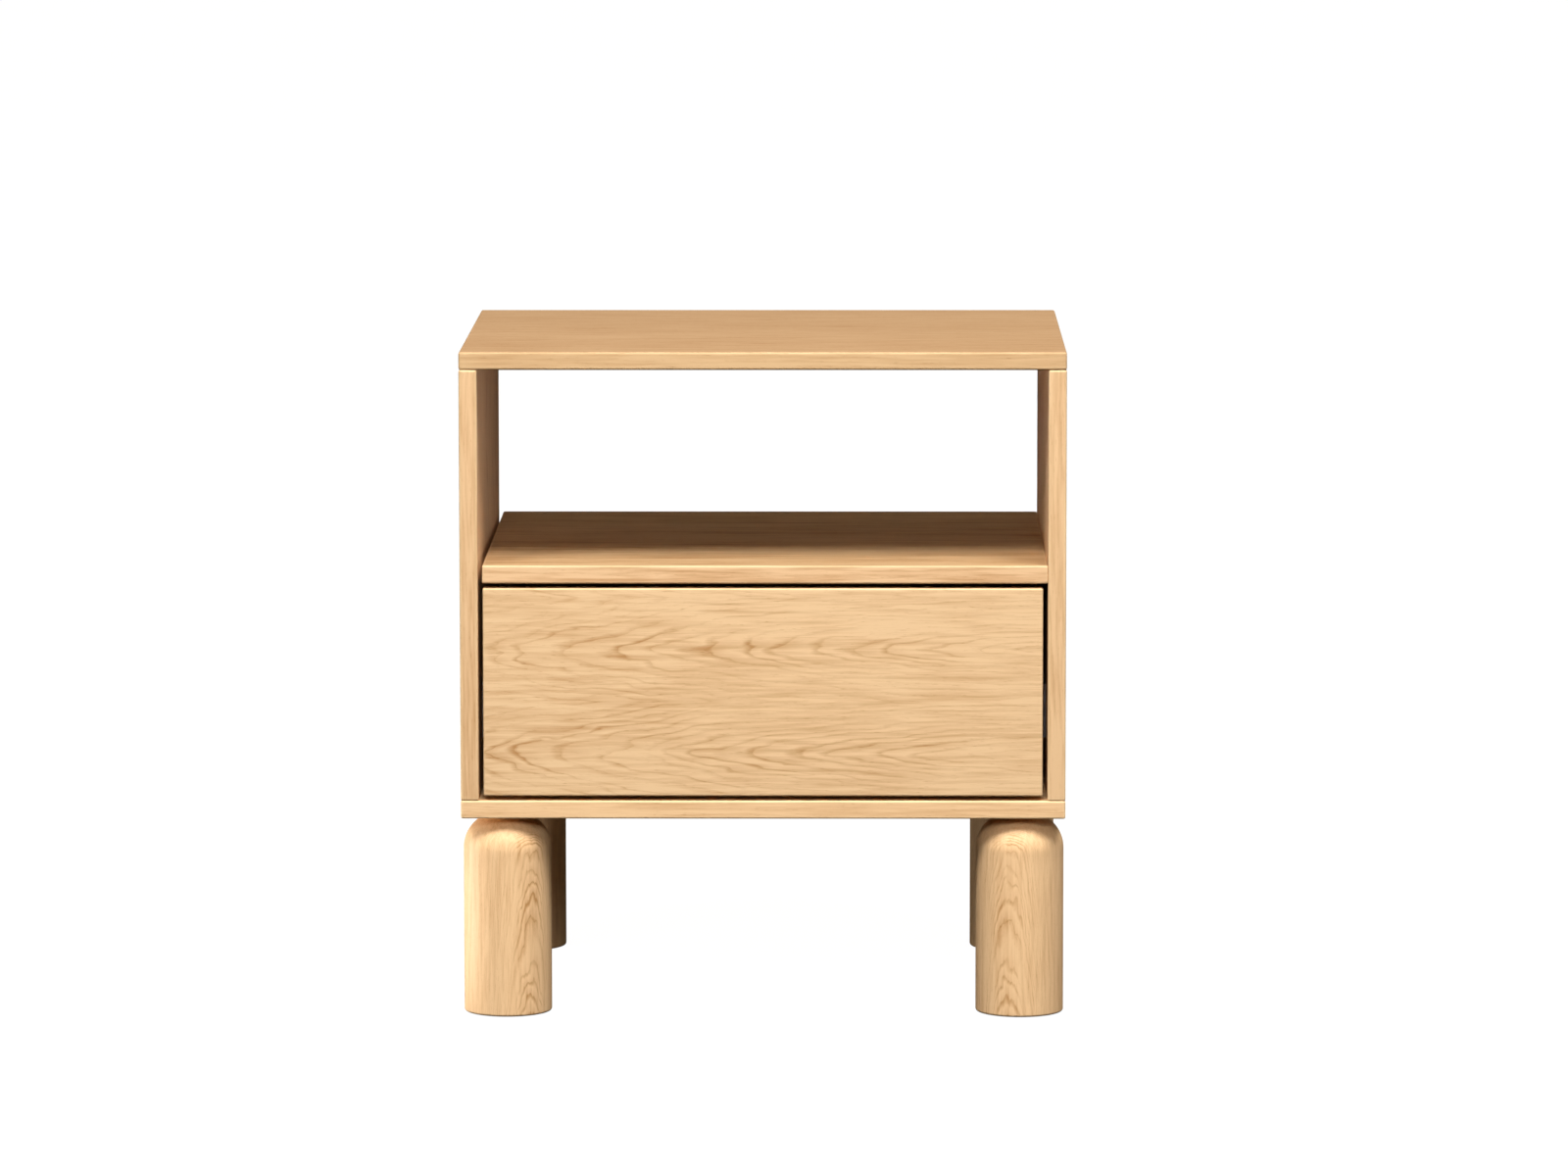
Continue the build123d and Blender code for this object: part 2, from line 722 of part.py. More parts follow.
def strike_plate():
    """A steel angle under the drawer's bottom, which the plunger pushes on."""
    x = (-strike_width / 2, strike_width / 2)
    foot = block(x, (strike_y - strike_foot_length, strike_y), (groove_low_z - strike_sheet, groove_low_z))
    blade = block(x, (strike_y - strike_sheet, strike_y), (bottom_top_z + strike_above_floor, groove_low_z))
    body = foot + blade
    for head in strike_screw_places():
        body -= screw_hole(small_screw, strike_screw_length, head, (0, 0, 1), flat_head=False)
    return body


# ---- Write every node ----
def write_carcass():
    write("top_panel", top_panel())
    write("bottom_panel", bottom_panel())
    write("back_panel", back_panel())
    write("back_panel_dowels", *back_panel_dowels())
    write("top_dowels", *carcass_dowels(top_under_z, 1))
    write("bottom_dowels", *carcass_dowels(bottom_top_z, -1))
    write("shelf", shelf())
    write("shelf_pins", *[shelf_pin(s, y) for s in SIDES.values() for y in pin_places()])
    for side, sign in SIDES.items():
        write(f"side_panel_{side}", side_panel(sign))
        for end, toward in ENDS.items():
            write(f"leg_{end}_{side}", leg(sign * leg_x, toward * leg_y))
    write("leg_glides", *[leg_glide(x, y) for x, y in leg_places()])
    write("leg_bolts", *[leg_bolt(x, y) for x, y in leg_places()])
    write("leg_nuts", *[leg_nut(x, y) for x, y in leg_places()])


def write_slides():
    cabinet_screws = []
    drawer_screws = []
    for side, sign in SIDES.items():
        write(f"slide_outer_{side}", slide_outer(sign))
        write(f"slide_middle_{side}", slide_middle(sign))
        write(f"slide_inner_{side}", slide_inner(sign))
        write(f"slide_stop_{side}", slide_stop(sign))
        write(f"ball_cage_outer_{side}", ball_cage(sheet + cage_play, outer_ball_u, outer_ball_v, sign))
        write(f"balls_outer_{side}", *balls(outer_ball_u, outer_ball_v, sign))
        write(f"ball_cage_inner_{side}", ball_cage(inner_cage_u, inner_ball_u, inner_ball_v, sign))
        write(f"balls_inner_{side}", *balls(inner_ball_u, inner_ball_v, sign))
        for head in cabinet_slide_screw_heads(sign):
            cabinet_screws.append(screw(slide_screw, slide_screw_length, head, (sign, 0, 0)))
        for head in drawer_slide_screw_heads(sign):
            drawer_screws.append(screw(slide_screw, slide_screw_length, head, (-sign, 0, 0)))
    write("cabinet_slide_screws", *cabinet_screws)
    write("drawer_slide_screws", *drawer_screws)


def write_drawer():
    write("drawer_front", drawer_front())
    write("drawer_sub_front", drawer_sub_front())
    write("drawer_back", drawer_back())
    write("drawer_bottom", drawer_bottom())
    for side, sign in SIDES.items():
        write(f"drawer_side_{side}", drawer_side(sign))
    write("drawer_dowels", *drawer_dowels())
    front_screws = [screw(wood_screw, front_screw_length, at, (0, -1, 0)) for at in sub_front_screw_places()]
    write("drawer_front_screws", *front_screws)
    write("drawer_bottom_screws", *pan_screws(bottom_screw_length, bottom_screw_places(), (0, 0, 1)))


def write_latch():
    write("push_latch_housing", push_latch_housing())
    write("push_latch_plunger", push_latch_plunger())
    write("push_latch_buffer", push_latch_buffer())
    write("push_latch_spring", push_latch_spring())
    write("strike_plate", strike_plate())
    write("push_latch_screws", *pan_screws(latch_screw_length, latch_screw_places(), (0, 0, -1)))
    write("strike_screws", *pan_screws(strike_screw_length, strike_screw_places(), (0, 0, 1)))


write_carcass()
write_slides()
write_drawer()
write_latch()
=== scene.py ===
import json
import math

import bpy
from mathutils import Matrix, Vector


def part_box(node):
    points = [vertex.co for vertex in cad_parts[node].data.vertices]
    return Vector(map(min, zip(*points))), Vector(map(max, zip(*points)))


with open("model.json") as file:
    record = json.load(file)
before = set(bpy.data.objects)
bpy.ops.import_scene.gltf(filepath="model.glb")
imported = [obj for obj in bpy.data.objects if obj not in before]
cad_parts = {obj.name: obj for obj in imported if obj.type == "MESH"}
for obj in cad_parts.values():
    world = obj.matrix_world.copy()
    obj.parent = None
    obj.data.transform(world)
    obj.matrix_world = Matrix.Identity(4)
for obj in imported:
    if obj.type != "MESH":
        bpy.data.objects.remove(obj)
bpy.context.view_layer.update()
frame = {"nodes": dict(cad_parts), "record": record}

nodes = frame["nodes"]


# ---------------------------------------------------------------- node-tree helpers
class Tree:
    """Adds nodes to a tree. An input given as a socket is linked; any other is set as the socket's value."""

    def __init__(self, tree):
        self.tree = tree

    def node(self, kind, inputs=None, **settings):
        made = self.tree.nodes.new("ShaderNode" + kind)
        for key, value in settings.items():
            setattr(made, key, value)
        for key, value in (inputs or {}).items():
            self.put(made.inputs[key], value)
        return made

    def put(self, socket, value):
        if isinstance(value, bpy.types.NodeSocket):
            self.tree.links.new(value, socket)
        else:
            socket.default_value = value

    def math(self, operation, a, b=0.0, c=0.0, clamp=False):
        made = self.node("Math", {0: a, 1: b, 2: c}, operation=operation, use_clamp=clamp)
        return made.outputs[0]

    def vector(self, operation, a, b=(0.0, 0.0, 0.0)):
        return self.node("VectorMath", {0: a, 1: b}, operation=operation).outputs[0]

    def ramp(self, value, low, high, to_low=0.0, to_high=1.0):
        """A smooth step from to_low to to_high as value goes from low to high."""
        inputs = {"Value": value, "From Min": low, "From Max": high, "To Min": to_low, "To Max": to_high}
        return self.node("MapRange", inputs, interpolation_type="SMOOTHSTEP").outputs[0]

    def noise(self, at, stretch, detail=2.0, rough=0.5):
        """Noise from 0 to 1 at a place in metres, stretch giving its waves per metre along each axis."""
        place = self.vector("MULTIPLY", at, stretch)
        inputs = {"Vector": place, "Scale": 1.0, "Detail": detail, "Roughness": rough}
        return self.node("TexNoise", inputs, noise_dimensions="3D").outputs[0]

    def mix(self, share, a, b):
        made = self.node("Mix", {0: share, 6: a, 7: b}, data_type="RGBA")
        return made.outputs[2]

    def bump(self, height, depth, strength=1.0):
        return self.node("Bump", {"Height": height, "Distance": depth, "Strength": strength}).outputs[0]

    def object_place(self):
        return self.node("TexCoord").outputs["Object"]

    def object_normal(self):
        return self.node("TexCoord").outputs["Normal"]


def colour(r, g, b):
    """A linear colour from 8-bit display values, each above 10."""
    return tuple(((c / 255 + 0.055) / 1.055) ** 2.4 for c in (r, g, b)) + (1.0,)


def tinted(base, tint):
    return tuple(a * b for a, b in zip(base, tint)) + (1.0,)


def new_material(name):
    material = bpy.data.materials.new(name)
    material.use_nodes = True
    material.node_tree.nodes.clear()
    return material, Tree(material.node_tree)


def close_material(t, principled):
    output = t.node("OutputMaterial")
    t.tree.links.new(principled.outputs[0], output.inputs[0])


def dress(material, *names):
    for name in names:
        data = nodes[name].data
        data.materials.clear()
        data.materials.append(material)


def middle_of(name):
    low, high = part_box(name)
    return (low + high) / 2


# ---------------------------------------------------------------- wood
def build_wood_group():
    """Growth rings round a pith line that runs nearly along the grain, with fibre, pores and slow colour drift.

    Place is in metres in the wood's own axes: x along the grain, y across it and z into the board.
    """
    group = bpy.data.node_groups.new("wood_rings", "ShaderNodeTree")
    group.interface.new_socket("Place", in_out="INPUT", socket_type="NodeSocketVector")
    for name in ("Pith Depth", "Tilt", "Ring", "Leaf", "Wander", "Lines"):
        group.interface.new_socket(name, in_out="INPUT", socket_type="NodeSocketFloat")
    for name in ("Line", "Tone", "Pore", "Fibre"):
        group.interface.new_socket(name, in_out="OUTPUT", socket_type="NodeSocketFloat")
    t = Tree(group)
    given = group.nodes.new("NodeGroupInput").outputs
    place = given["Place"]
    axes = t.node("SeparateXYZ", {0: place}).outputs

    # the rings wander: a broad sway and a finer ripple, both longer along the grain than across it
    sway = t.math("SUBTRACT", t.noise(place, (5.0, 17.0, 17.0), 1.0), 0.5)
    ripple = t.math("SUBTRACT", t.noise(place, (22.0, 85.0, 85.0), 2.0, 0.5), 0.5)
    wander = t.math("MULTIPLY", t.math("ADD", sway, t.math("MULTIPLY", ripple, 0.70)), given["Wander"])

    # veneer leaves repeat across the grain at the leaf's pitch
    across = t.math("PINGPONG", t.math("ADD", axes[1], t.math("MULTIPLY", given["Leaf"], 20.0)), given["Leaf"])
    # the rings are strongest in the middle of an arch, and distance counts for more there, which points its tip
    reach, pointing = 0.03, 0.78
    middle = t.ramp(across, 0.004, reach, 1.0, 0.5)
    across = t.math("MULTIPLY", t.math("POWER", t.math("DIVIDE", across, reach), pointing), reach)
    depth = t.math("ADD", axes[2], given["Pith Depth"])
    depth = t.math("ADD", depth, t.math("MULTIPLY", axes[0], given["Tilt"]))
    squares = t.math("ADD", t.math("POWER", across, 2.0), t.math("POWER", t.math("ABSOLUTE", depth), 2.0))
    radius = t.math("ADD", t.math("SQRT", squares), wander)
    rings = t.math("DIVIDE", radius, given["Ring"])
    uneven = t.node("TexNoise", {"W": rings, "Scale": 0.37, "Detail": 1.0}, noise_dimensions="1D").outputs[0]
    rings = t.math("ADD", rings, t.math("MULTIPLY", t.math("SUBTRACT", uneven, 0.5), 1.3))
    share = t.math("FRACT", rings)

    # a dark porous line starts each ring, then the wood is lightest and slowly dulls
    opening = t.ramp(share, 0.0, 0.40, 1.0, 0.0)
    closing = t.ramp(share, 0.84, 1.0)
    dull = t.math("MULTIPLY", t.ramp(share, 0.30, 0.95), 0.34)
    line = t.math("MAXIMUM", t.math("MAXIMUM", opening, closing), dull)
    strength = t.node("TexWhiteNoise", {"W": t.math("FLOOR", rings)}, noise_dimensions="1D").outputs[0]
    patchy = t.ramp(t.noise(place, (9.0, 55.0, 55.0), 1.0), 0.28, 0.72, 0.25, 1.0)
    strength = t.math("MULTIPLY", t.math("MULTIPLY", t.ramp(strength, 0.0, 1.0, 0.45, 1.0), patchy), middle)
    line = t.math("MULTIPLY", t.math("MULTIPLY", line, strength), given["Lines"])

    # fibre streaks, fine and broad, and a slow drift of tone
    fine = t.noise(place, (34.0, 950.0, 950.0), 3.0, 0.6)
    broad = t.noise(place, (7.0, 160.0, 160.0), 2.0, 0.55)
    streak = t.noise(place, (15.0, 270.0, 270.0), 2.0, 0.6)
    drift = t.noise(place, (2.2, 8.0, 8.0), 1.0)
    tone = t.math("ADD", t.math("MULTIPLY", fine, 0.50), t.math("MULTIPLY", broad, 0.60))
    tone = t.math("ADD", tone, t.math("MULTIPLY", streak, 1.15))
    tone = t.math("ADD", tone, t.math("MULTIPLY", drift, 0.45))
    tone = t.math("SUBTRACT", tone, 1.24)

    # pores: short dark dashes, crowded at the start of each ring
    dash = t.noise(place, (130.0, 1900.0, 1900.0), 1.0)
    crowd = t.ramp(share, 0.05, 0.6, 0.0, 0.075)
    pore = t.ramp(t.math("SUBTRACT", dash, crowd), 0.60, 0.68)

    out = group.nodes.new("NodeGroupOutput")
    for name, value in (("Line", line), ("Tone", tone), ("Pore", pore), ("Fibre", fine)):
        group.links.new(value, out.inputs[name])
    return group


WOOD = build_wood_group()


def edge_wear_and_highlight(t, place, node, near=0.0006, far=0.0026):
    """1 at a board's edges, falling to 0 inwards, from how far a point is from its node's box faces. It places
    the edges' wear together with their painted highlight.
    """
    low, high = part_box(node)
    centre, half = (low + high) / 2, (high - low) / 2
    inside = t.vector("SUBTRACT", tuple(half), t.vector("ABSOLUTE", t.vector("SUBTRACT", place, tuple(centre))))
    a, b, c = t.node("SeparateXYZ", {0: inside}).outputs
    smaller, larger = t.math("MINIMUM", a, b), t.math("MAXIMUM", a, b)
    second = t.math("MAXIMUM", smaller, t.math("MINIMUM", larger, c))
    return t.ramp(second, near, far, 1.0, 0.0)


# how the object's X, Y and Z are read as the wood's along, across and into
READ = {
    "x_flat": (0, 1, 2),
    "x_upright": (0, 2, 1),
    "y_side": (1, 2, 0),
    "z_front": (2, 0, 1),
    "z_side": (2, 1, 0),
}


# where along X a pair of ring strengths changes from the left one to the right one
LINES_FROM, LINES_TO = -0.10, 0.24


def reordered(t, place, order):
    parts = t.node("SeparateXYZ", {0: place}).outputs
    return t.node("CombineXYZ", {0: parts[order[0]], 1: parts[order[1]], 2: parts[order[2]]}).outputs[0]


def wood(name, node, read, shift, pith=0.06, tilt=0.05, ring=0.003, leaf=0.5, wander=0.006, lines=1.0,
         light=None, dark=None, shade=(1.0, 1.0, 1.0), ends=None, painted_level_shade=None, wear_and_highlight=0.55, rough=0.50,
         turn=None, finer=1.0, grain=1.0):
    """An oak or plywood material for one node, or for several that share its box closely enough.

    read       how the object's axes are read as the wood's, a key of READ
    shift      moves the wood's own origin, so that no two pieces are alike
    pith, tilt how deep the pith line lies, and its slope along the grain
    ring, leaf the growth rings' width, and the pitch at which veneer leaves repeat
    wander     how far the rings wander
    lines      the strength of the rings' dark lines, or a pair giving it at the left and at the right
    shade      tints the light and the dark colour
    ends       a second reading for the faces that look along X, such as a board's banded ends
    face       painted shade: darkens the faces that look up or down, which the light reaches less than the fronts
    turn       turns the wood about the piece's upright axis, and so chooses the arches' side
    finer      shrinks the noise and the pores, not the rings
    grain      the strength of the streaks
    """
    material, t = new_material(name)
    object_place = t.object_place()
    place = t.vector("SUBTRACT", object_place, tuple(middle_of(node)))
    if turn is not None:
        inputs = {"Vector": place, "Angle": math.radians(turn)}
        place = t.node("VectorRotate", inputs, rotation_type="Z_AXIS").outputs[0]
    along = reordered(t, place, READ[read])
    if ends is not None:
        across_face = t.math("ABSOLUTE", t.node("SeparateXYZ", {0: t.object_normal()}).outputs[0])
        is_end = t.math("GREATER_THAN", across_face, 0.7)
        banded = reordered(t, place, READ[ends])
        along = t.node("Mix", {0: is_end, 4: along, 5: banded}, data_type="VECTOR").outputs[1]
    along = t.vector("MULTIPLY", t.vector("ADD", along, shift), (finer, finer, finer))
    if isinstance(lines, tuple):
        lines = t.ramp(t.node("SeparateXYZ", {0: place}).outputs[0], LINES_FROM, LINES_TO, *lines)
    inputs = {"Place": along, "Pith Depth": pith * finer, "Tilt": tilt, "Ring": ring * finer,
              "Leaf": leaf * finer, "Wander": wander * finer, "Lines": lines}
    rings = t.node("Group", node_tree=WOOD)
    for key, value in inputs.items():
        t.put(rings.inputs[key], value)
    line, tone, pore, fibre = (rings.outputs[k] for k in ("Line", "Tone", "Pore", "Fibre"))
    dark_share = t.math("ADD", t.math("MULTIPLY", line, 0.72), t.math("MULTIPLY", tone, grain))
    dark_share = t.math("ADD", dark_share, t.math("MULTIPLY", pore, 0.30))
    light, dark = (tinted(c, shade) for c in (light or OAK_LIGHT, dark or OAK_DARK))
    body = t.mix(t.math("ADD", dark_share, 0.0, clamp=True), light, dark)
    # painted shade: faces that look up or down are darkened, for the light that reaches them less than the
    # fronts
    if painted_level_shade is not None:
        level_face_shade_mask = t.math("ABSOLUTE", t.node("SeparateXYZ", {0: t.object_normal()}).outputs[2])
        body = t.node("Mix", {0: t.math("GREATER_THAN", level_face_shade_mask, 0.7), 6: body, 7: painted_level_shade},
                      data_type="RGBA", blend_type="MULTIPLY").outputs[2]
    # painted highlight: the edges are lightened towards the rim colour, partly for wear and partly for the light
    # that catches the eased edges
    if wear_and_highlight:
        rim_wear_and_highlight = t.math("MULTIPLY", edge_wear_and_highlight(t, object_place, node), wear_and_highlight)
        body = t.mix(rim_wear_and_highlight, body, OAK_RIM_WORN_AND_LIT)
    gloss = t.math("ADD", t.math("MULTIPLY", fibre, 0.14), rough - 0.07)
    gloss = t.math("ADD", gloss, t.math("MULTIPLY", pore, 0.12))
    hollow = t.math("ADD", pore, t.math("MULTIPLY", line, 0.25))
    relief = t.bump(t.math("SUBTRACT", t.math("MULTIPLY", fibre, 0.35), hollow), 0.00012, 0.6)
    shader = t.node("BsdfPrincipled", {"Base Color": body, "Roughness": gloss, "Normal": relief})
    shader.inputs["Specular IOR Level"].default_value = 0.18
    close_material(t, shader)
    return material


OAK_LIGHT = colour(243, 207, 161)
OAK_DARK = colour(196, 147, 95)
# the rim colour stands for worn edges and for a painted highlight on them
OAK_RIM_WORN_AND_LIT = colour(252, 226, 178)

# for each board: how its axes are read, the shift of the wood's origin, and what differs from the usual
# the top panel and the shelf darken their faces that look up or down with a last tint: painted shade
BOARDS = {
    "top_panel": ("x_flat", (0.31, 0.07, 0.0), dict(
        pith=0.11, tilt=0.012, ring=0.0042, lines=0.45, shade=(0.80, 0.76, 0.70), ends="y_side",
        painted_level_shade=(0.66, 0.63, 0.64, 1.0), wear_and_highlight=0.04)),
    "bottom_panel": ("x_flat", (1.7, 0.02, 0.01), dict(
        pith=0.09, tilt=0.02, ring=0.0036, lines=0.7, shade=(1.06, 1.02, 0.98), ends="y_side", wear_and_highlight=0.30)),
    "shelf": ("x_flat", (2.9, 0.05, 0.02), dict(
        pith=0.10, tilt=0.015, ring=0.012, lines=1.3, shade=(0.98, 0.93, 0.91), ends="y_side",
        painted_level_shade=(0.67, 0.66, 0.61, 1.0), wear_and_highlight=0.20, grain=1.8)),
    "side_panel_left": ("z_side", (4.1, 0.03, 0.0), dict(
        pith=0.07, ring=0.0034, leaf=0.1, lines=0.8, shade=(0.94, 0.90, 0.87), wear_and_highlight=0.3, grain=1.15)),
    "side_panel_right": ("z_side", (5.3, 0.06, 0.0), dict(
        pith=0.08, ring=0.0036, leaf=0.1, lines=0.8, shade=(0.94, 0.90, 0.87), wear_and_highlight=0.3, grain=1.15)),
    "drawer_front": ("x_upright", (0.0, -0.0358, 0.0), dict(
        pith=0.035, tilt=-0.088, ring=0.0030, leaf=0.0433, wander=0.0085, lines=(1.25, 0.70),
        shade=(0.98, 0.97, 0.96), wear_and_highlight=0.18)),
    "back_panel": ("x_upright", (11.9, 0.04, 0.0), dict(
        pith=0.1, tilt=0.03, ring=0.004, leaf=0.09, lines=0.7)),
}
for name, (read, shift, rest) in BOARDS.items():
    dress(wood("oak_" + name, name, read, shift, **rest), name)

# the legs are turned from solid wood, with the arches on the side given here in degrees
LEG_SHADE = (1.08, 1.04, 1.00)
LEG_TURNS = {
    "leg_front_left": -34.0,
    "leg_front_right": 15.0,
    "leg_rear_left": 60.0,
    "leg_rear_right": -95.0,
}
LEG_TILT, LEG_PITH_DEPTH = 0.055, -0.16
for index, (leg, turn) in enumerate(LEG_TURNS.items()):
    offset = 0.57 * index + 0.2
    solid = dict(pith=LEG_PITH_DEPTH - LEG_TILT * offset, tilt=LEG_TILT, ring=0.0010, wander=0.0024, lines=1.5,
                 shade=LEG_SHADE, wear_and_highlight=0.0, turn=turn, finer=1.7, grain=0.75)
    dress(wood("oak_" + leg, leg, "z_front", (offset, 0.0, 0.0), **solid), leg)

# the drawer box is birch plywood and the dowels are beech
PLY_LIGHT, PLY_DARK = colour(232, 208, 168), colour(196, 164, 118)
DRAWER_BOX = {
    "drawer_side_left": ("y_side", 7.1),
    "drawer_side_right": ("y_side", 8.3),
    "drawer_sub_front": ("x_upright", 9.1),
    "drawer_back": ("x_upright", 9.9),
    "drawer_bottom": ("x_flat", 10.7),
}
for name, (read, offset) in DRAWER_BOX.items():
    dress(wood("birch_" + name, name, read, (offset, 0.03, 0.0), pith=0.12, tilt=0.03, ring=0.005, lines=0.4,
               light=PLY_LIGHT, dark=PLY_DARK, wear_and_highlight=0.25), name)
dowel_wood = wood("beech_dowels", "top_dowels", "z_front", (13.1, 0.0, 0.0), lines=0.3,
                  light=PLY_LIGHT, dark=PLY_DARK, wear_and_highlight=0.0)
dress(dowel_wood, "top_dowels", "bottom_dowels", "back_panel_dowels", "drawer_dowels")


# ---------------------------------------------------------------- metal, plastic, rubber and felt
def metal(name, base, rough, brushed=(12.0, 900.0, 900.0), depth=0.00002, spots=0.25):
    """A metal with fine brushing along Y, dull spots and a little bump."""
    material, t = new_material(name)
    place = t.object_place()
    brush = t.noise(place, brushed, 2.0)
    spot = t.ramp(t.noise(place, (90.0, 90.0, 90.0), 3.0), 0.45, 0.75)
    shade = t.math("ADD", t.math("MULTIPLY", brush, 0.35), t.math("MULTIPLY", spot, spots), clamp=True)
    body = t.mix(shade, base, tuple(c * 0.62 for c in base[:3]) + (1.0,))
    gloss = t.math("ADD", t.math("MULTIPLY", brush, 0.16), rough - 0.06)
    gloss = t.math("ADD", gloss, t.math("MULTIPLY", spot, 0.12))
    relief = t.bump(brush, depth, 0.5)
    shader = t.node("BsdfPrincipled", {"Base Color": body, "Roughness": gloss, "Normal": relief})
    shader.inputs["Metallic"].default_value = 1.0
    close_material(t, shader)
    return material


def moulded(name, light, dark, rough, grain=1400.0, depth=0.00006, fuzz=0.0):
    """Plastic, rubber or felt: an even colour with a fine grain, slow scuffing and bump."""
    material, t = new_material(name)
    place = t.object_place()
    fine = t.noise(place, (grain, grain, grain), 3.0, 0.6)
    scuff = t.ramp(t.noise(place, (60.0, 60.0, 60.0), 3.0), 0.42, 0.74)
    paler = t.math("ADD", t.math("MULTIPLY", fine, 0.5), t.math("MULTIPLY", scuff, 0.4), clamp=True)
    body = t.mix(paler, dark, light)
    scuffed = t.math("ADD", t.math("MULTIPLY", scuff, 0.10), rough - 0.08)
    gloss = t.math("ADD", t.math("MULTIPLY", fine, 0.12), scuffed)
    relief = t.bump(fine, depth, 0.7)
    shader = t.node("BsdfPrincipled", {"Base Color": body, "Roughness": gloss, "Normal": relief})
    if fuzz:
        shader.inputs["Sheen Weight"].default_value = fuzz
    close_material(t, shader)
    return material


def of_slot(slot):
    return [s["node"] for s in frame["record"]["subparts"] if s["material_slot"] == slot]


# for each material slot: the material's name, its colours, its roughness, and what differs from the usual
METALS = {
    "zinc_steel": ("zinc_plate", (0.60, 0.61, 0.63, 1.0), 0.34, dict(brushed=(900.0, 14.0, 900.0))),
    "bright_steel": ("nickel_plate", (0.66, 0.65, 0.63, 1.0), 0.30, dict(brushed=(500.0, 500.0, 500.0))),
    "cage_steel": ("rolled_strip", (0.50, 0.51, 0.53, 1.0), 0.38, dict(brushed=(900.0, 20.0, 900.0))),
    "ball_steel": ("polished_balls", (0.74, 0.75, 0.77, 1.0), 0.14,
                   dict(brushed=(300.0, 300.0, 300.0), spots=0.08)),
    "spring_steel": ("drawn_wire", (0.42, 0.42, 0.43, 1.0), 0.36, dict(brushed=(700.0, 700.0, 700.0))),
}
MOULDED = {
    "grey_plastic": ("grey_plastic", (0.30, 0.31, 0.32, 1.0), (0.22, 0.225, 0.235, 1.0), 0.48, dict()),
    "black_plastic": ("black_plastic", (0.030, 0.030, 0.032, 1.0), (0.014, 0.014, 0.015, 1.0), 0.46, dict()),
    "black_rubber": ("black_rubber", (0.026, 0.026, 0.026, 1.0), (0.012, 0.012, 0.012, 1.0), 0.70, dict()),
    "felt": ("brown_felt", (0.13, 0.085, 0.055, 1.0), (0.05, 0.032, 0.02, 1.0), 0.92,
             dict(grain=2600.0, depth=0.0003, fuzz=0.4)),
}
for slot, (name, base, rough, rest) in METALS.items():
    dress(metal(name, base, rough, **rest), *of_slot(slot))
for slot, (name, light, dark, rough, rest) in MOULDED.items():
    dress(moulded(name, light, dark, rough, **rest), *of_slot(slot))


# ---------------------------------------------------------------- floor, world, lights, camera
def make_floor():
    size = 30.0
    mesh = bpy.data.meshes.new("floor")
    corners = [(-size, -size, 0.0), (size, -size, 0.0), (size, size, 0.0), (-size, size, 0.0)]
    mesh.from_pydata(corners, [], [(0, 1, 2, 3)])
    floor = bpy.data.objects.new("floor", mesh)
    bpy.context.scene.collection.objects.link(floor)
    material, t = new_material("pale_floor")
    shader = t.node("BsdfPrincipled")
    shader.inputs["Base Color"].default_value = (0.10, 0.10, 0.10, 1.0)
    shader.inputs["Roughness"].default_value = 0.9
    shader.inputs["Specular IOR Level"].default_value = 0.1
    shader.inputs["Emission Color"].default_value = (1.0, 1.0, 1.0, 1.0)
    shader.inputs["Emission Strength"].default_value = 0.985
    close_material(t, shader)
    mesh.materials.append(material)
    floor.visible_diffuse = False
    floor.visible_glossy = False


def make_world():
    """White to the camera, and a dim even light on the object."""
    world = bpy.data.worlds.new("studio")
    bpy.context.scene.world = world
    world.use_nodes = True
    world.node_tree.nodes.clear()
    t = Tree(world.node_tree)
    seen = t.node("Background", {"Color": (1.0, 1.0, 1.0, 1.0), "Strength": 1.0})
    upward = t.node("SeparateXYZ", {0: t.node("TexCoord").outputs["Generated"]}).outputs[2]
    dim = t.ramp(upward, 0.25, 0.55, 0.012, 0.28)
    felt = t.node("Background", {"Color": (1.0, 0.78, 0.52, 1.0), "Strength": dim})
    to_camera = t.node("LightPath").outputs["Is Camera Ray"]
    mixed = t.node("MixShader", {0: to_camera, 1: felt.outputs[0], 2: seen.outputs[0]})
    output = t.node("OutputWorld")
    t.tree.links.new(mixed.outputs[0], output.inputs[0])


def area_light(name, at, aim, size, power, spread=180.0):
    data = bpy.data.lights.new(name, "AREA")
    data.shape = "RECTANGLE"
    data.size, data.size_y = size
    data.energy = power
    data.spread = math.radians(spread)
    light = bpy.data.objects.new(name, data)
    bpy.context.scene.collection.objects.link(light)
    light.location = at
    light.rotation_euler = (Vector(aim) - Vector(at)).to_track_quat("-Z", "Y").to_euler()
    light.visible_camera = False


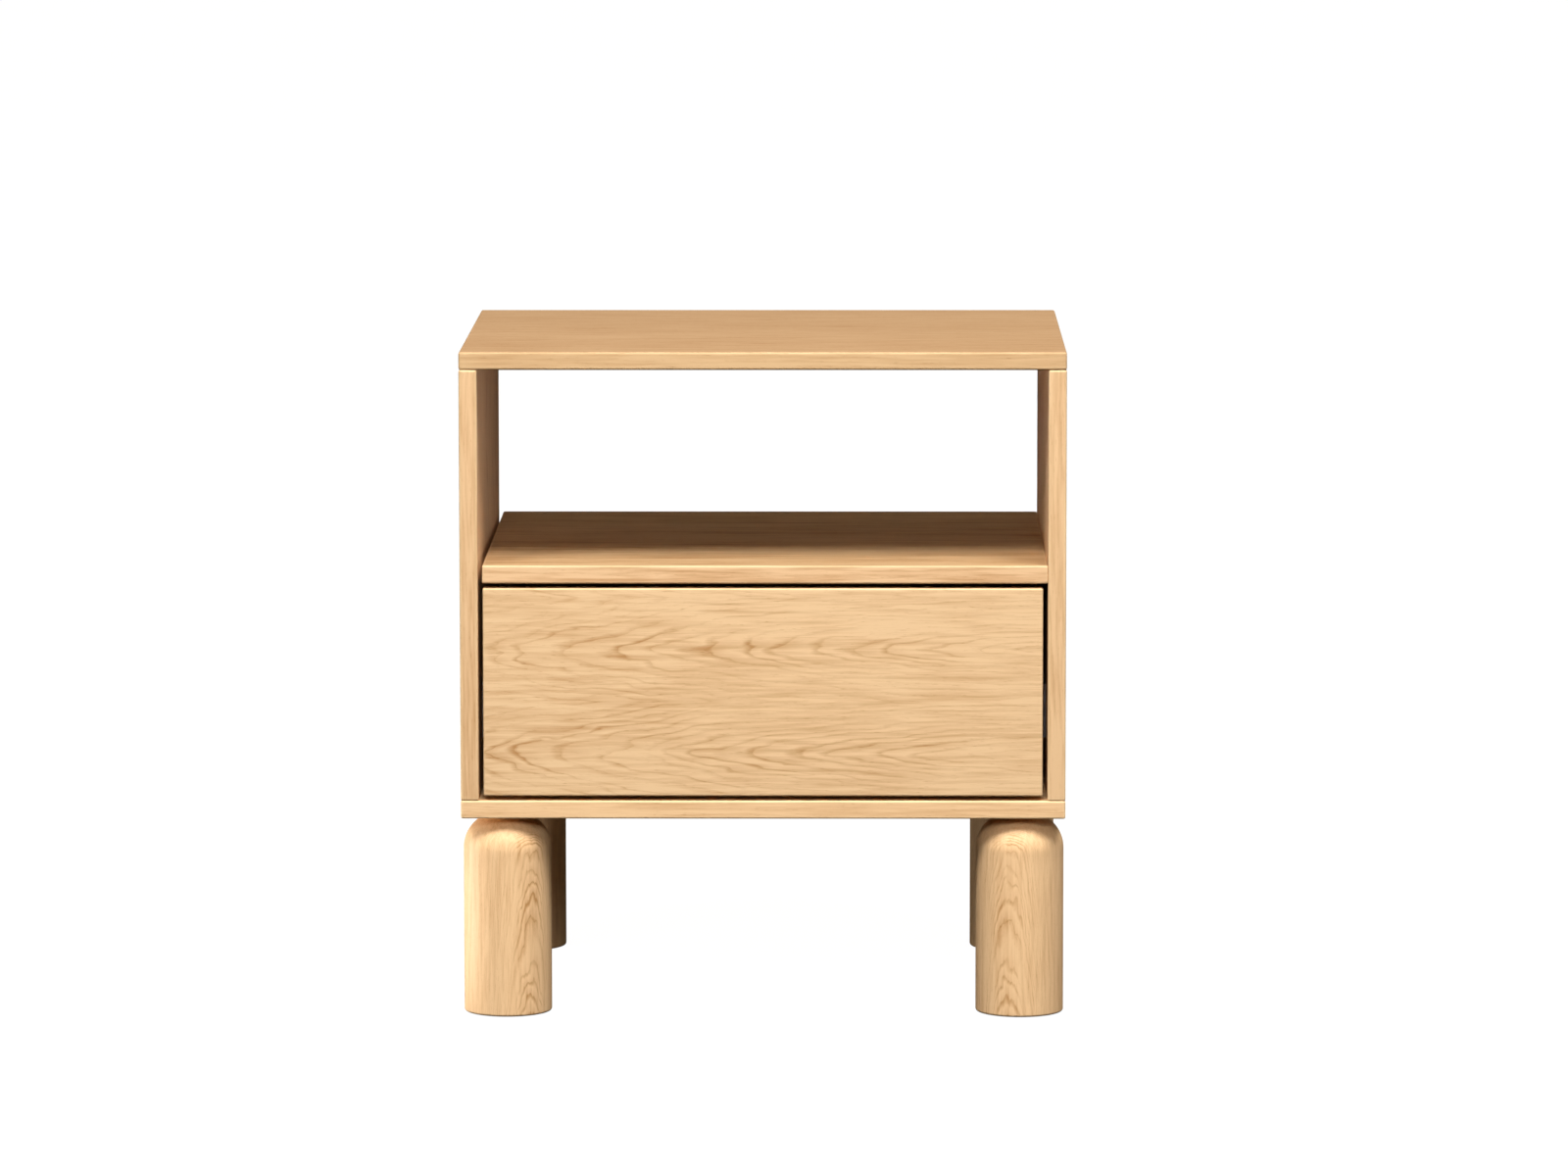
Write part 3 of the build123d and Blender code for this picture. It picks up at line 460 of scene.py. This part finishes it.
def soft_box(name, azimuth, elevation, power, distance=4.0, size=(1.0, 1.0), aim=(0.0, 0.0, 0.3),
             spread=180.0):
    """A soft box seen from the aim at an azimuth to the right of straight ahead and an elevation, in degrees."""
    turn, lift = math.radians(azimuth), math.radians(elevation)
    way = Vector((math.sin(turn) * math.cos(lift), -math.cos(turn) * math.cos(lift), math.sin(lift)))
    area_light(name, tuple(Vector(aim) + distance * way), aim, size, power, spread)


def make_lights():
    soft_box("key_left", -40.0, 50.0, 64.0)
    soft_box("key_middle", 0.0, 54.0, 79.0)
    soft_box("key_right", 40.0, 60.0, 100.0)
    soft_box("fill", 0.0, 22.0, 42.0)
    # two small boxes close by, each lighting the outer side of one front leg
    edges = (("edge_left", "leg_front_left", -97.0, 0.54), ("edge_right", "leg_front_right", 99.0, 0.05))
    for name, leg, azimuth, power in edges:
        x, y, _ = middle_of(leg)
        soft_box(name, azimuth, 0.0, power, 0.22, (0.06, 0.18), (x, y, 0.09))
    # two narrow beams through the niche's open back, each on the opposite side panel's inner face
    niche_floor, niche_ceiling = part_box("shelf")[1][2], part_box("top_panel")[0][2]
    upper_niche = niche_floor + 0.6 * (niche_ceiling - niche_floor)
    for name, azimuth, power in (("niche_left", -130.0, 0.085), ("niche_right", 130.0, 0.100)):
        soft_box(name, azimuth, 0.0, power, 3.0, (0.5, 0.10), (0.0, 0.0, upper_niche), 12.0)


def make_camera():
    """A view from in front, looking a little down, with no lens shift. Places are in metres."""
    pitch, yaw, roll = math.radians(7.0051), math.radians(0.5133), math.radians(-0.0391)
    forward = Vector((-math.sin(yaw) * math.cos(pitch), math.cos(yaw) * math.cos(pitch), -math.sin(pitch)))
    level = Vector((math.cos(yaw), math.sin(yaw), 0.0))
    upward = level.cross(forward)
    right = math.cos(roll) * level + math.sin(roll) * upward
    up = -math.sin(roll) * level + math.cos(roll) * upward
    data = bpy.data.cameras.new("camera")
    data.lens = 179.31
    data.sensor_width = 36.0
    data.clip_end = 200.0
    data.dof.use_dof = False
    camera = bpy.data.objects.new("camera", data)
    bpy.context.scene.collection.objects.link(camera)
    turned = Matrix((right, up, -forward)).transposed().to_4x4()
    camera.matrix_world = Matrix.Translation((0.0747, -6.586, 1.1446)) @ turned
    bpy.context.scene.camera = camera


make_floor()
make_world()
make_lights()
make_camera()
bpy.context.scene.view_settings.view_transform = "Standard"
